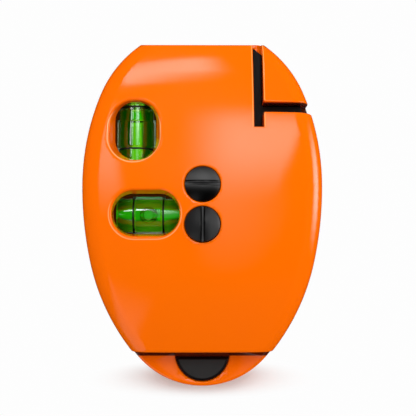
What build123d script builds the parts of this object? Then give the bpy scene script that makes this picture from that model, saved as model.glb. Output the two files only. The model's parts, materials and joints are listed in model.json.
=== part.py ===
"""Two-line laser level with a domed case, lying on its flat back.

The origin is under the middle of the case. +Z points out through the dome, +Y to the slotted end
and +X to the side where the cross slot opens. All sizes are in millimetres.
"""

import math
import os

from build123d import *

os.makedirs("parts", exist_ok=True)

# Plan of the case: tangent arcs from the widest point up to the flat end and down to the tail
tail_tip_y, top_end_y = -58.85, 59.25
half_width = 40.2
long_way = 120.0
shoulder_radius, shoulder_arc = 88.2, 20.48
brow_radius, brow_arc = 40.4, 42.0
belly_radius, belly_arc = 129.2, 11.81
flank_radius, flank_arc = 75.0, 26.44
flank_overrun = 8.0
end_corner_radius = 4.5

# Dome: a barrel-shaped crown rounded into upright sides, cut square at the tail and leaning back
# at the flat end
parting_z = 13.0
crown_radius, crown_cross_radius = 150.0, 300.0
crown_y, crown_z = 5.5, 32.0
end_lean, lean_foot_z = 16.0, 15.0
side_round = 7.0
dome_end_y = -46.65
tail_wall_round, flat_end_round = 1.2, 0.4
wall = 2.2
above_all = 45.0
overcut = 1.0

# Lower shell
floor_thickness = 2.0
base_draft = 2.5
base_edge_round = 1.5
tail_edge_round = 1.0
deck_thickness = 1.2
deck_inner_y = -45.8
lip_height, lip_outer, lip_inner = 1.4, 1.25, 2.1
lip_room = 0.2

# T-slot for the laser lines and the black channel in it
slot_left, slot_right, slot_foot = 17.13, 20.39, 27.85
cross_low, cross_high = 33.03, 36.55
trench_wall = 1.8
trench_bottom_z, trench_floor_z = 13.5, 15.0
slot_edge_round, crossing_round = 0.4, 0.6
channel_gap = 0.08
channel_top_z = 20.5
channel_bevel = 0.35
channel_skin = 0.9
channel_roof = 1.2
channel_side_inset, channel_end_inset = 2.6, 4.0

# Windows over the two vials, each wider at the top than at the foot
window_foot_z, window_top_z = 23.0, 32.0
window_wall = 1.6
window_wall_foot_z = 24.0
window_edge_round = 0.9
flat_window = {
    "foot": {"at": (-18.7, -0.65), "size": (21.8, 13.3), "corner": 6.4},
    "top": {"at": (-18.4, -0.9), "size": (22.4, 15.5), "corner": 7.3},
}
upright_window = {
    "foot": {"at": (-22.3, 27.5), "size": (13.2, 19.2), "corner": 6.3},
    "top": {"at": (-22.75, 26.6), "size": (18.5, 20.8), "corner": 8.2},
}

# Vials: a clear tube, thicker between its rings, with a blind bore
vial_z = 17.75
vial_length = 21.5
vial_end_radius, vial_middle_radius = 5.85, 6.5
vial_middle_half, vial_step, vial_end_round = 4.05, 0.65, 0.8
vial_bore_radius, vial_bottom = 3.9, 1.8
plug_length = 1.6
fluid_gap = 0.02
ring_at, ring_width, ring_thickness = 5.02, 0.6, 0.12
bubble_radius, bubble_lift = 2.2, 2.0
meniscus_at, meniscus_radius = 5.6, 6.0
flat_vial_centre = (-18.1, -0.85, vial_z)
upright_vial_centre = (-22.6, 26.6, vial_z)

# Vial bracket: two troughs on one plate
trough_gap = 0.1
trough_half_width = 7.6
trough_bottom_z = 9.8
trough_end_wall = 1.3
bracket_plate_z, bracket_plate, bracket_corner = 14.0, 2.0, 2.0
bracket_arm = {"at": (-22.25, 10.6), "size": (27.5, 8.4)}
bracket_tab = {"at": (-22.6, 41.5), "size": (6.4, 9.0)}

# Buttons, their switches and the circuit board
button_x = 0.1
button_ys = {"horizontal_line": 8.57, "vertical_line": -4.48}
button_hole_radius, button_radius = 5.9, 5.7
button_hole_round = 0.5
button_edge_z, button_top_z, button_edge_round = 32.1, 33.9, 0.4
button_flange_radius, button_flange_z, button_flange = 6.3, 27.4, 1.0
button_flange_flat = 5.1
button_cavity_radius, button_cavity_top_z = 4.2, 31.0
button_stem_radius, button_stem_z = 2.0, 26.0
groove_width, groove_floor_z = 1.1, 32.0
button_travel = 1.0
board_z, board_thickness = 16.4, 1.6
board_left, board_right, board_low, board_high = -5.5, 13.5, -11.0, 22.0
board_corner = 1.0
switch_size, switch_height, switch_corner = 6.0, 3.6, 0.5
plunger_radius, plunger_room, plunger_seat = 1.65, 0.15, 1.6
plunger_rest_gap = 1.2

# Lasers
beam_z = 22.1
beam_radius = 1.5
barrel_radius, barrel_bore_radius, barrel_length, barrel_gap = 3.0, 1.2, 14.0, 0.05
barrel_standoff = 0.15
lens_radius, lens_thickness, lens_recess = 2.0, 1.4, 2.0
lens_rib_radius, lens_rib_half = 0.5, 1.2
collar_side, collar_length, collar_top_z = 9.0, 7.0, 23.6
mount_plate_z, mount_plate = 16.5, 1.5
mount_plate_corners = [((4.0, 23.5), (15.0, 39.3)), ((14.2, 13.5), (29.0, 25.6))]

# Fasteners
case_screw_points = [(-19, 50), (27, 43.5), (-31, -20), (31, -20)]
case_boss_radius, case_pilot_radius, case_pilot_top_z = 3.0, 1.45, 20.0
case_boss_z = 9.0
case_post_radius, case_hole_radius = 3.6, 1.6
case_head_radius, case_head_height, case_seat_z = 2.6, 1.8, 5.2
case_shank_radius, case_shank_top_z = 1.4, 19.0
counterbore_radius = 2.9
board_screw_points = [(-3, 18.5), (11, 18.5), (11, -8.5)]
bracket_screw_points = [(-33, 11.3), (-11.5, 11.3), (-22.6, 43)]
mount_screw_points = [(9.5, 26.5), (26.5, 19)]
small_boss_radius, small_pilot_radius, small_hole_radius = 2.2, 1.05, 1.2
small_head_radius, small_head_height = 1.9, 1.3
small_shank_radius, small_shank_length = 1.0, 7.0
drive_width, drive_depth, drive_reach = 0.7, 0.8, 0.65

# Battery bay for two AAA cells lying across the case
cell_radius, cell_length = 5.25, 44.5
nub_radius, nub_height = 1.9, 0.8
cell_z = 7.85
cell_ys = (-15.4, -26.4)
bay_half_length, bay_low, bay_high = 24.6, -31.9, -10.0
bay_wall, bay_side_wall, bay_top_z, bay_roof = 1.4, 2.6, 13.3, 1.2
cell_edge = 0.6
contact_thickness, contact_pip, contact_pip_radius = 0.4, 0.8, 1.6
contact_low_z, contact_high_z, plate_half = 3.4, 12.2, 4.0
leaf_thickness, leaf_half_width, leaf_inset = 0.3, 2.2, 1.0
leaf_corner_x = 21.1

# Battery door and its hinge
door_bottom_z, door_thickness = 0.3, 2.0
door_half_width, door_low, door_high = 25.4, -38.4, -7.85
door_corner, door_gap = 4.0, 0.3
hinge_y, hinge_z = -5.1, 2.6
knuckle_radius, knuckle_in, knuckle_out = 2.3, 12.0, 21.0
knuckle_x = (knuckle_in + knuckle_out) / 2
pin_radius, pin_bore_radius, pin_length = 1.0, 1.05, 2.5
lug_width = 3.2
pin_room = 0.3
end_sweep_radius = 3.9
door_rib_xs, door_rib_half_x, door_rib_half_y, door_rib_height = (-12.0, 12.0), 0.6, 1.6, 1.0

# Release catch
catch_radius, catch_centre_y, catch_chord_y = 9.15, -47.8, -48.85
catch_bottom_z, catch_top_z, catch_bevel = 12.1, 14.4, 0.9
well_depth, well_gap, well_floor = 1.0, 0.35, 1.2
catch_travel = 1.6
stem_half, stem_low, stem_high = 3.0, -54.0, -51.2
stem_slot_gap = 0.25
barb_half, barb_low_z, barb_high_z = 4.6, 9.4, 10.6
arm_half, arm_low_z, arm_high_z = 3.4, 3.0, 4.4
arm_end_y, arm_bar = -34.6, 1.0
arm_window_half, arm_window_low = 2.0, -39.9
tongue_half, tongue_low, tongue_high, tongue_top_z = 1.6, -38.0, -36.9, 5.8
tongue_lip_y, tongue_lip_z = -35.9, 4.6
spring_rib_low, spring_rib_high = -47.6, -46.6
spring_low_z, spring_high_z, spring_half, spring_gap = 5.8, 9.0, 2.5, 0.05
spring_thickness = 0.25

# Leads inside the case
lead_radius, lead_bend, lead_gap, lead_drop = 0.6, 1.2, 0.1, 3.0
lead_hole_radius, lead_hole_z = 0.9, 11.2
positive_lead_y, negative_lead_y = -13.0, -28.4

shoulder_turn = math.radians(shoulder_arc)
belly_turn = math.radians(belly_arc)
tail_turn = math.radians(belly_arc + flank_arc)
tail_arc = 90 - belly_arc - flank_arc

# The tail's radius is what is left of the half width after the belly and flank arcs
tail_radius = (
    half_width
    - belly_radius * (1 - math.cos(belly_turn))
    - flank_radius * (math.cos(belly_turn) - math.cos(tail_turn))
) / math.cos(tail_turn)
tail_reach = (
    belly_radius * math.sin(belly_turn)
    + flank_radius * (math.sin(tail_turn) - math.sin(belly_turn))
    + tail_radius * (1 - math.sin(tail_turn))
)
widest_y = tail_reach + tail_tip_y

# Centre of the brow arc, and where that arc meets the flat end
brow_centre_x = half_width - shoulder_radius + (shoulder_radius - brow_radius) * math.cos(shoulder_turn)
brow_centre_y = widest_y + (shoulder_radius - brow_radius) * math.sin(shoulder_turn)
end_turn = math.asin((top_end_y - brow_centre_y) / brow_radius)
end_corner_x = brow_centre_x + brow_radius * math.cos(end_turn)


def case_plan(inset, round_tail):
    """Plan of the case pulled in by inset, running on past the flat end and, if wanted, the tail."""
    with BuildSketch() as plan:
        with BuildLine():
            widest = (half_width - inset, widest_y)
            shoulder = JernArc(widest, (0, 1), shoulder_radius - inset, shoulder_arc)
            brow = JernArc(shoulder @ 1, shoulder % 1, brow_radius - inset, brow_arc)
            belly = JernArc(widest, (0, -1), belly_radius - inset, -belly_arc)
            if round_tail:
                flank = JernArc(belly @ 1, belly % 1, flank_radius - inset, -flank_arc)
                JernArc(flank @ 1, flank % 1, tail_radius - inset, -tail_arc)
            else:
                flank = JernArc(belly @ 1, belly % 1, flank_radius - inset, -flank_arc - flank_overrun)
                Line(flank @ 1, (0, (flank @ 1).Y))
            Line(brow @ 1, (0, (brow @ 1).Y))
            mirror(about=Plane.YZ)
        make_face()
    return plan.sketch


def end_gate(inset):
    """Region on the inner side of the flat end, whose rounded corners run out along the brow."""
    run = 60
    far_x = end_corner_x + run * math.sin(end_turn)
    far_y = top_end_y - run * math.cos(end_turn)
    with BuildSketch() as gate:
        with BuildLine():
            Polyline((0, top_end_y), (end_corner_x, top_end_y), (far_x, far_y), (far_x, -100), (0, -100))
            mirror(about=Plane.YZ)
        make_face()
        corners = gate.vertices().group_by(Axis.Y)[-1].filter_by(lambda corner: abs(corner.X) > 1)
        fillet(corners, end_corner_radius)
        if inset:
            offset(amount=-inset)
    return gate.sketch


def flat_ended_plan(inset):
    """Plan of the whole case, from the round tail to the flat end."""
    with BuildSketch() as plan:
        add(case_plan(inset, round_tail=True))
        add(end_gate(inset), mode=Mode.INTERSECT)
    return plan.sketch


def band(low_y, high_y):
    """A wide strip across the case between two places along it."""
    with BuildSketch() as strip:
        with Locations((0, (low_y + high_y) / 2)):
            Rectangle(4 * half_width, high_y - low_y)
    return strip.sketch


def crown_form(inset):
    """Barrel whose upper side is the crown: one arc across the case, turned about an axis below it."""
    axis_z = crown_z - crown_radius
    edge_x = 1.5 * half_width
    reach = crown_radius - inset
    edge_reach = reach - crown_cross_radius + inset
    edge_reach += math.sqrt((crown_cross_radius - inset) ** 2 - edge_x**2)
    with BuildPart() as barrel:
        with BuildSketch(Plane((0, crown_y, axis_z))):
            with BuildLine():
                ThreePointArc((-edge_x, edge_reach), (0, reach), (edge_x, edge_reach))
                Polyline((edge_x, edge_reach), (edge_x, 0), (-edge_x, 0), (-edge_x, edge_reach))
            make_face()
        revolve(axis=Axis((0, crown_y, axis_z), (1, 0, 0)), revolution_arc=180)
    return barrel.part


def lean_wedge(inset):
    """What leaves the flat end leaning back above its foot."""
    end_y = top_end_y - inset
    rise = above_all - lean_foot_z
    with BuildPart() as wedge:
        with BuildSketch(Plane.YZ):
            with BuildLine():
                Polyline(
                    (end_y, lean_foot_z),
                    (end_y - rise * math.tan(math.radians(end_lean)), above_all),
                    (end_y + rise, above_all),
                    (end_y + rise, lean_foot_z),
                    close=True,
                )
            make_face()
        extrude(amount=2 * half_width, both=True)
    return wedge.part


def dome_form(inset, foot_z):
    """The dome pulled in by inset all round, with its foot at foot_z."""
    with BuildPart() as form:
        with BuildSketch(Plane.XY.offset(foot_z)):
            add(case_plan(inset, round_tail=False))
        extrude(amount=above_all)
        add(crown_form(inset), mode=Mode.INTERSECT)
        crown = form.faces().sort_by(Axis.Z)[-1]
        fillet(crown.edges().filter_by(lambda edge: abs(edge.center().X) > 1), side_round - inset)
        with BuildSketch(Plane.XY.offset(foot_z)):
            add(band(dome_end_y + inset, long_way))
            add(end_gate(inset), mode=Mode.INTERSECT)
        extrude(amount=above_all, mode=Mode.INTERSECT)
        add(lean_wedge(inset), mode=Mode.SUBTRACT)
    return form.part


def base_form(inset, foot_z, top_z):
    """The lower half, drafted in towards the back, pulled in by inset."""
    with BuildPart() as form:
        with BuildSketch(Plane.XY.offset(parting_z)):
            add(flat_ended_plan(inset))
        extrude(amount=foot_z - parting_z, taper=base_draft)
        if top_z > parting_z:
            extrude(form.faces().sort_by(Axis.Z)[-1], amount=top_z - parting_z)
    return form.part


def slot_plan(margin):
    """The T: an upright slot open at the flat end and a cross slot open at the side."""
    past_end, past_side = 70, 50
    with BuildSketch() as plan:
        with Locations(((slot_left + slot_right) / 2, (slot_foot - margin + past_end) / 2)):
            Rectangle(slot_right - slot_left + 2 * margin, past_end - slot_foot + margin)
        with Locations(((slot_left - margin + past_side) / 2, (cross_low + cross_high) / 2)):
            Rectangle(past_side - slot_left + margin, cross_high - cross_low + 2 * margin)
        corners = plan.vertices().filter_by(lambda corner: abs(corner.X - slot_right - margin) < 0.01)
        fillet(corners.sort_by(Axis.Y)[1:3], crossing_round)
    return plan.sketch


def on_slot_wall(edge):
    """Whether an edge runs straight along or across the case, as the rims of the slots do."""
    run = edge @ 1 - edge @ 0
    return min(abs(run.X), abs(run.Y)) < 0.01


def window_form(window, grow, foot_z):
    """The flared well of a window, or with grow the wall round it."""
    with BuildPart() as form:
        for height, outline in ((foot_z, window["foot"]), (window_top_z, window["top"])):
            width, length = outline["size"]
            with BuildSketch(Plane.XY.offset(height)):
                with Locations(outline["at"]):
                    RectangleRounded(width + 2 * grow, length + 2 * grow, outline["corner"] + grow)
        loft()
    return form.part


def door_plan(gap):
    """Plan of the battery door grown by gap: rounded at its free end, square along the hinge."""
    low_y, high_y = door_low - gap, door_high + gap
    full_width = 2 * (door_half_width + gap)
    with BuildSketch() as plan:
        with Locations((0, (low_y + high_y) / 2)):
            RectangleRounded(full_width, high_y - low_y, door_corner + gap)
        with Locations((0, high_y - door_corner)):
            Rectangle(full_width, 2 * door_corner)
    return plan.sketch


def box_between(low, high):
    """A box from its lowest corner to its highest."""
    low_corner, high_corner = Vector(*low), Vector(*high)
    size = high_corner - low_corner
    with BuildPart() as block:
        with Locations(low_corner + size * 0.5):
            Box(size.X, size.Y, size.Z)
    return block.part


def post(point, radius, low_z, high_z):
    """An upright round post at a point of the plan."""
    with BuildPart() as column:
        with BuildSketch(Plane.XY.offset(low_z)):
            with Locations(point):
                Circle(radius)
        extrude(amount=high_z - low_z)
    return column.part


def finish(piece, name):
    """Label a finished piece and write it."""
    piece.label = name
    export_step(piece, f"parts/{name}.step")


small_boss_foots = (
    [(point, board_z + board_thickness) for point in board_screw_points]
    + [(point, bracket_plate_z + bracket_plate) for point in bracket_screw_points]
    + [(point, mount_plate_z + mount_plate) for point in mount_screw_points]
)
laser_y = (cross_low + cross_high) / 2
laser_x = (slot_left + slot_right) / 2

# Upper shell: the room inside the dome, less the walls and bosses that stand in it
with BuildPart() as upper_room:
    add(dome_form(wall, parting_z - overcut))
    with BuildSketch(Plane.XY.offset(parting_z - overcut)):
        add(flat_ended_plan(lip_outer - lip_room))
        add(band(dome_end_y + wall, long_way), mode=Mode.INTERSECT)
    extrude(amount=overcut + lip_height + lip_room)
    with BuildSketch(Plane.XY.offset(trench_bottom_z)):
        add(slot_plan(trench_wall))
    extrude(amount=above_all, mode=Mode.SUBTRACT)
    for window in (flat_window, upright_window):
        add(window_form(window, window_wall, window_wall_foot_z), mode=Mode.SUBTRACT)
    for point in case_screw_points:
        add(post(point, case_boss_radius, parting_z - 2 * overcut, above_all), mode=Mode.SUBTRACT)
    for point, foot_z in small_boss_foots:
        add(post(point, small_boss_radius, foot_z, above_all), mode=Mode.SUBTRACT)

with BuildPart() as upper_shell:
    add(dome_form(0, parting_z))
    for end_way, end_edge_round in ((-1, tail_wall_round), (1, flat_end_round)):
        end_wall = upper_shell.faces().filter_by(
            lambda face: face.geom_type == GeomType.PLANE and end_way * face.normal_at().Y > 0.9
        ).sort_by(SortBy.AREA)[-1]
        end_edges = end_wall.edges().filter_by(lambda edge: edge.center().Z > lean_foot_z + overcut)
        fillet(end_edges.filter_by(GeomType.LINE, reverse=True), end_edge_round)
    with BuildSketch(Plane.XY.offset(trench_floor_z)):
        add(slot_plan(0))
    extrude(amount=above_all, mode=Mode.SUBTRACT)
    slot_rims = upper_shell.edges(Select.LAST).filter_by(GeomType.LINE, reverse=True).filter_by(on_slot_wall)
    fillet(slot_rims.filter_by(lambda edge: edge.center().Z > trench_floor_z + overcut), slot_edge_round)
    for window in (flat_window, upright_window):
        add(window_form(window, 0, window_foot_z), mode=Mode.SUBTRACT)
        rims = upper_shell.edges(Select.LAST).filter_by(lambda edge: edge.center().Z > window_wall_foot_z)
        fillet(rims, window_edge_round)
    for button_y in button_ys.values():
        add(post((button_x, button_y), button_hole_radius, button_stem_z, above_all), mode=Mode.SUBTRACT)
        rims = upper_shell.edges(Select.LAST).filter_by(lambda edge: edge.center().Z > button_cavity_top_z)
        fillet(rims, button_hole_round)
    add(upper_room.part, mode=Mode.SUBTRACT)
    for point in case_screw_points:
        add(post(point, case_boss_radius, case_boss_z, parting_z + overcut))
        add(post(point, case_pilot_radius, case_boss_z, case_pilot_top_z), mode=Mode.SUBTRACT)
    for point, foot_z in small_boss_foots:
        pilot_top_z = foot_z + small_shank_length
        add(post(point, small_pilot_radius, foot_z, pilot_top_z), mode=Mode.SUBTRACT)
    with Locations(Location((slot_left, laser_y, beam_z), (0, 90, 0))):
        Cylinder(beam_radius, 4 * trench_wall, mode=Mode.SUBTRACT)
    with Locations(Location((laser_x, slot_foot, beam_z), (90, 0, 0))):
        Cylinder(beam_radius, 4 * trench_wall, mode=Mode.SUBTRACT)
finish(upper_shell.part, "upper_shell")

# Lower shell: the room over its floor, less the deck over the tail and the screw posts
well_bottom_z = parting_z - well_depth - well_floor
with BuildPart() as lower_room:
    add(base_form(wall, floor_thickness, parting_z + overcut))
    with BuildSketch(Plane.XY.offset(parting_z - deck_thickness)):
        add(band(-long_way, deck_inner_y))
    extrude(amount=above_all, mode=Mode.SUBTRACT)
    with BuildSketch(Plane.XY.offset(well_bottom_z)):
        with Locations((0, catch_centre_y)):
            Circle(catch_radius + well_gap + well_floor)
        add(band(-long_way, deck_inner_y), mode=Mode.INTERSECT)
    extrude(amount=above_all, mode=Mode.SUBTRACT)
    for point in case_screw_points:
        add(post(point, case_post_radius, 0, case_boss_z), mode=Mode.SUBTRACT)
    spring_rib = box_between(
        (-arm_half, spring_rib_low, spring_low_z - lead_radius), (arm_half, spring_rib_high, parting_z)
    )
    add(spring_rib, mode=Mode.SUBTRACT)

# The tail's deck has its edge rounded where it shows beyond the dome
with BuildPart() as tail_pod:
    add(base_form(0, 0, parting_z))
    with BuildSketch():
        add(band(-long_way, dome_end_y))
    extrude(amount=above_all, mode=Mode.INTERSECT)
    deck_edges = tail_pod.faces().sort_by(Axis.Z)[-1].edges()
    fillet(deck_edges.filter_by(GeomType.LINE, reverse=True), tail_edge_round)

with BuildPart() as lower_shell:
    add(base_form(0, 0, parting_z))
    with BuildSketch():
        add(band(dome_end_y, long_way))
    extrude(amount=above_all, mode=Mode.INTERSECT)
    add(tail_pod.part)
    back_edges = lower_shell.faces().sort_by(Axis.Z)[0].edges()
    fillet(back_edges, base_edge_round)
    add(lower_room.part, mode=Mode.SUBTRACT)

    # Lip that the upper shell fits over, open where the trench meets the sides
    with BuildSketch(Plane.XY.offset(parting_z - deck_thickness)):
        add(flat_ended_plan(lip_outer))
        add(flat_ended_plan(lip_inner + wall - lip_outer), mode=Mode.SUBTRACT)
        add(band(dome_end_y + wall + lip_room, long_way), mode=Mode.INTERSECT)
        add(slot_plan(trench_wall + lip_room), mode=Mode.SUBTRACT)
        for point in case_screw_points:
            with Locations(point):
                Circle(case_boss_radius + lip_room, mode=Mode.SUBTRACT)
    extrude(amount=deck_thickness + lip_height)

    # Battery bay: a box with a roof, open through the back
    bay_outer = bay_half_length + bay_side_wall
    bay_box = box_between(
        (-bay_outer, bay_low - bay_wall, 0), (bay_outer, bay_high + bay_wall, bay_top_z + bay_roof)
    )
    add(bay_box)
    bay_room = box_between((-bay_half_length, bay_low, -overcut), (bay_half_length, bay_high, bay_top_z))
    add(bay_room, mode=Mode.SUBTRACT)
    for lead_y in (positive_lead_y, negative_lead_y):
        with Locations(Location((bay_half_length, lead_y, lead_hole_z), (0, 90, 0))):
            Cylinder(lead_hole_radius, 3 * bay_side_wall, mode=Mode.SUBTRACT)

    # Screw holes from the back, each with a sunk seat for the head
    for point in case_screw_points:
        add(post(point, case_hole_radius, -overcut, case_boss_z + overcut), mode=Mode.SUBTRACT)
        add(post(point, counterbore_radius, -overcut, case_seat_z), mode=Mode.SUBTRACT)

    # Well for the release catch, open against the dome's end wall, with the slot for its stem
    with BuildSketch(Plane.XY.offset(parting_z - well_depth)):
        with Locations((0, catch_centre_y)):
            Circle(catch_radius + well_gap)
        add(band(-long_way, dome_end_y), mode=Mode.INTERSECT)
    extrude(amount=2 * well_depth, mode=Mode.SUBTRACT)
    stem_slot = box_between(
        (-stem_half - stem_slot_gap, stem_low - stem_slot_gap, well_bottom_z - overcut),
        (stem_half + stem_slot_gap, stem_high + catch_travel + stem_slot_gap, parting_z),
    )
    add(stem_slot, mode=Mode.SUBTRACT)

    # Opening for the battery door, with a notch for each knuckle and one for the catch's arm
    with BuildSketch(Plane.XY.offset(-overcut)):
        add(door_plan(door_gap))
        with Locations((-knuckle_x, hinge_y), (knuckle_x, hinge_y)):
            Rectangle(knuckle_out - knuckle_in + 2 * door_gap, 2 * (knuckle_radius + door_gap))
    extrude(amount=overcut + door_bottom_z + door_thickness + door_gap, mode=Mode.SUBTRACT)
    arm_notch = box_between(
        (-arm_half - door_gap, bay_low - 2 * bay_wall, door_bottom_z),
        (arm_half + door_gap, bay_low + overcut, arm_high_z + door_gap),
    )
    add(arm_notch, mode=Mode.SUBTRACT)

    # Lugs beside the knuckles, bored for the door's pins
    lug_in, lug_out = knuckle_out + door_gap, knuckle_out + door_gap + lug_width
    for side in (-1, 1):
        lug_ends = sorted((side * lug_in, side * lug_out))
        lug = box_between(
            (lug_ends[0], hinge_y - knuckle_radius, 0),
            (lug_ends[1], hinge_y + knuckle_radius, hinge_z + knuckle_radius),
        )
        add(lug)
        bore_length = pin_length + pin_room
        with Locations(Location((side * (knuckle_out + bore_length / 2), hinge_y, hinge_z), (0, 90, 0))):
            Cylinder(pin_bore_radius, bore_length, mode=Mode.SUBTRACT)
finish(lower_shell.part, "lower_shell")

# Battery door: a plate whose hinge edge is hollowed round the hinge, with two pinned knuckles
plate_top_z = door_bottom_z + door_thickness
with BuildPart() as battery_door:
    with BuildSketch(Plane.XY.offset(door_bottom_z)):
        add(door_plan(0))
    extrude(amount=door_thickness)
    with Locations(Location((0, hinge_y, hinge_z), (0, 90, 0))):
        Cylinder(end_sweep_radius, 4 * door_half_width, mode=Mode.SUBTRACT)
    for side in (-1, 1):
        with BuildSketch(Plane.YZ.offset(side * knuckle_x)):
            with Locations((hinge_y, hinge_z)):
                Circle(knuckle_radius)
            with Locations((hinge_y - end_sweep_radius, door_bottom_z + door_thickness / 2)):
                Rectangle(2 * end_sweep_radius, door_thickness)
        extrude(amount=(knuckle_out - knuckle_in) / 2, both=True)
        with Locations(Location((side * (knuckle_out + pin_length / 2), hinge_y, hinge_z), (0, 90, 0))):
            Cylinder(pin_radius, pin_length)
    # Tongue with a lip for the catch, and ribs between the cells
    add(box_between((-tongue_half, tongue_low, door_bottom_z), (tongue_half, tongue_high, tongue_top_z)))
    add(box_between((-tongue_half, tongue_low, tongue_lip_z), (tongue_half, tongue_lip_y, tongue_top_z)))
    with BuildSketch(Plane.XY.offset(plate_top_z)):
        for rib_x in door_rib_xs:
            with Locations((rib_x, sum(cell_ys) / 2)):
                Rectangle(2 * door_rib_half_x, 2 * door_rib_half_y)
    extrude(amount=door_rib_height)
finish(battery_door.part, "battery_door")

# Release catch: half-moon button, stem, snap barbs and an arm that ends in a loop under the tongue
with BuildPart() as release_catch:
    with BuildSketch(Plane.XY.offset(catch_bottom_z)):
        with Locations((0, catch_centre_y)):
            Circle(catch_radius)
        add(band(-long_way, catch_chord_y), mode=Mode.INTERSECT)
    extrude(amount=catch_top_z - catch_bottom_z)
    chamfer(release_catch.faces().sort_by(Axis.Z)[-1].edges(), catch_bevel)
    add(box_between((-stem_half, stem_low, arm_low_z), (stem_half, stem_high, catch_bottom_z)))
    add(box_between((-barb_half, stem_low, barb_low_z), (barb_half, stem_high, barb_high_z)))
    add(box_between((-arm_half, stem_low, arm_low_z), (arm_half, arm_end_y, arm_high_z)))
    arm_window = box_between(
        (-arm_window_half, arm_window_low, arm_low_z), (arm_window_half, arm_end_y - arm_bar, arm_high_z)
    )
    add(arm_window, mode=Mode.SUBTRACT)
finish(release_catch.part, "release_catch")

# Bent leaf that pushes the catch back, between its stem and the rib
with BuildPart() as catch_spring:
    with BuildSketch(Plane.YZ):
        with BuildLine():
            FilletPolyline(
                (stem_high + spring_gap, spring_high_z),
                ((stem_high + spring_rib_low) / 2, spring_low_z),
                (spring_rib_low - spring_gap, spring_high_z),
                radius=3 * spring_thickness,
            )
            offset(amount=spring_thickness, side=Side.LEFT)
        make_face()
    extrude(amount=spring_half, both=True)
finish(catch_spring.part, "catch_spring")


# Beam channel: the black T in the trench, hollow from below, its open ends set back from the case
with BuildPart() as beam_channel:
    with BuildSketch(Plane.XY.offset(trench_floor_z)):
        add(case_plan(channel_side_inset, round_tail=False))
        with Locations((0, cross_high + long_way / 2)):
            Rectangle(4 * half_width, long_way, mode=Mode.SUBTRACT)
        add(case_plan(channel_end_inset, round_tail=False))
        add(slot_plan(-channel_gap), mode=Mode.INTERSECT)
    extrude(amount=channel_top_z - trench_floor_z)
    chamfer(beam_channel.faces().sort_by(Axis.Z)[-1].edges(), channel_bevel)
    with BuildSketch(Plane.XY.offset(trench_floor_z)):
        add(case_plan(channel_end_inset + channel_skin, round_tail=False))
        add(slot_plan(-channel_gap - channel_skin), mode=Mode.INTERSECT)
    extrude(amount=channel_top_z - trench_floor_z - channel_roof, mode=Mode.SUBTRACT)
finish(beam_channel.part, "beam_channel")


def button_cap(button_y, groove_turn):
    """A hollow domed cap with a retaining flange, a stem and one groove across its top."""
    dome_rise = button_top_z - button_edge_z
    dome_radius = (button_radius**2 + dome_rise**2) / (2 * dome_rise)
    with BuildPart() as cap:
        with BuildSketch(Plane.XZ):
            with BuildLine():
                Polyline(
                    (0, button_cavity_top_z),
                    (button_cavity_radius, button_cavity_top_z),
                    (button_cavity_radius, button_flange_z),
                    (button_flange_radius, button_flange_z),
                    (button_flange_radius, button_flange_z + button_flange),
                    (button_radius, button_flange_z + button_flange),
                    (button_radius, button_edge_z),
                )
                RadiusArc((button_radius, button_edge_z), (0, button_top_z), -dome_radius)
                Line((0, button_top_z), (0, button_cavity_top_z))
            make_face()
        revolve(axis=Axis.Z)
        dome_rim = cap.edges().filter_by(lambda edge: edge.is_closed).group_by(Axis.Z)[-1]
        fillet(dome_rim, button_edge_round)
        # The flange is cut flat beside the window, where there is no room for it
        with BuildSketch(Plane.XY.offset(button_flange_z)):
            with Locations((-button_flange_flat - button_radius, 0)):
                Rectangle(2 * button_radius, 4 * button_radius)
            Circle(button_radius, mode=Mode.SUBTRACT)
        extrude(amount=button_flange, mode=Mode.SUBTRACT)
        with BuildSketch(Plane.XY.offset(groove_floor_z)):
            Rectangle(3 * button_radius, groove_width, rotation=groove_turn)
        extrude(amount=button_top_z, mode=Mode.SUBTRACT)
        add(post((0, 0), button_stem_radius, button_stem_z, button_cavity_top_z))
    return Pos(button_x, button_y, 0) * cap.part


# Push buttons with their switches: a fixed body on the board and a plunger under the cap's stem
switch_foot_z = board_z + board_thickness
switch_top_z = switch_foot_z + switch_height
for line_name, groove_turn in (("horizontal_line", 0), ("vertical_line", 90)):
    button_y = button_ys[line_name]
    finish(button_cap(button_y, groove_turn), f"{line_name}_button")

    with BuildPart() as switch_body:
        with Locations((button_x, button_y, switch_foot_z + switch_height / 2)):
            Box(switch_size, switch_size, switch_height)
        chamfer(switch_body.edges().filter_by(Axis.Z), switch_corner)
        seat_z = switch_top_z - plunger_seat
        add(post((button_x, button_y), plunger_radius + plunger_room, seat_z, button_stem_z), mode=Mode.SUBTRACT)
    finish(switch_body.part, f"{line_name}_switch")

    with BuildPart() as plunger:
        add(post((button_x, button_y), plunger_radius, seat_z + plunger_rest_gap, button_stem_z))
    finish(plunger.part, f"{line_name}_plunger")

# Circuit board
with BuildPart() as circuit_board:
    add(box_between((board_left, board_low, board_z), (board_right, board_high, switch_foot_z)))
    chamfer(circuit_board.edges().filter_by(Axis.Z), board_corner)
    for point in board_screw_points:
        add(post(point, small_hole_radius, 0, above_all), mode=Mode.SUBTRACT)
finish(circuit_board.part, "circuit_board")


def vial_tube():
    """Clear tube along X, thicker in its middle, with a bore from its far end."""
    end_x = vial_length / 2
    step_x = vial_middle_half + vial_step
    with BuildPart() as tube:
        with BuildSketch(Plane.XY):
            with BuildLine():
                Polyline(
                    (-end_x, 0),
                    (-end_x, vial_end_radius - vial_end_round),
                    (-end_x + vial_end_round, vial_end_radius),
                    (-step_x, vial_end_radius),
                    (-vial_middle_half, vial_middle_radius),
                    (vial_middle_half, vial_middle_radius),
                    (step_x, vial_end_radius),
                    (end_x, vial_end_radius),
                    (end_x, vial_bore_radius),
                    (-end_x + vial_bottom, vial_bore_radius),
                    (-end_x + vial_bottom, 0),
                    close=True,
                )
            make_face()
        revolve(axis=Axis.X)
    return tube.part


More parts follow.
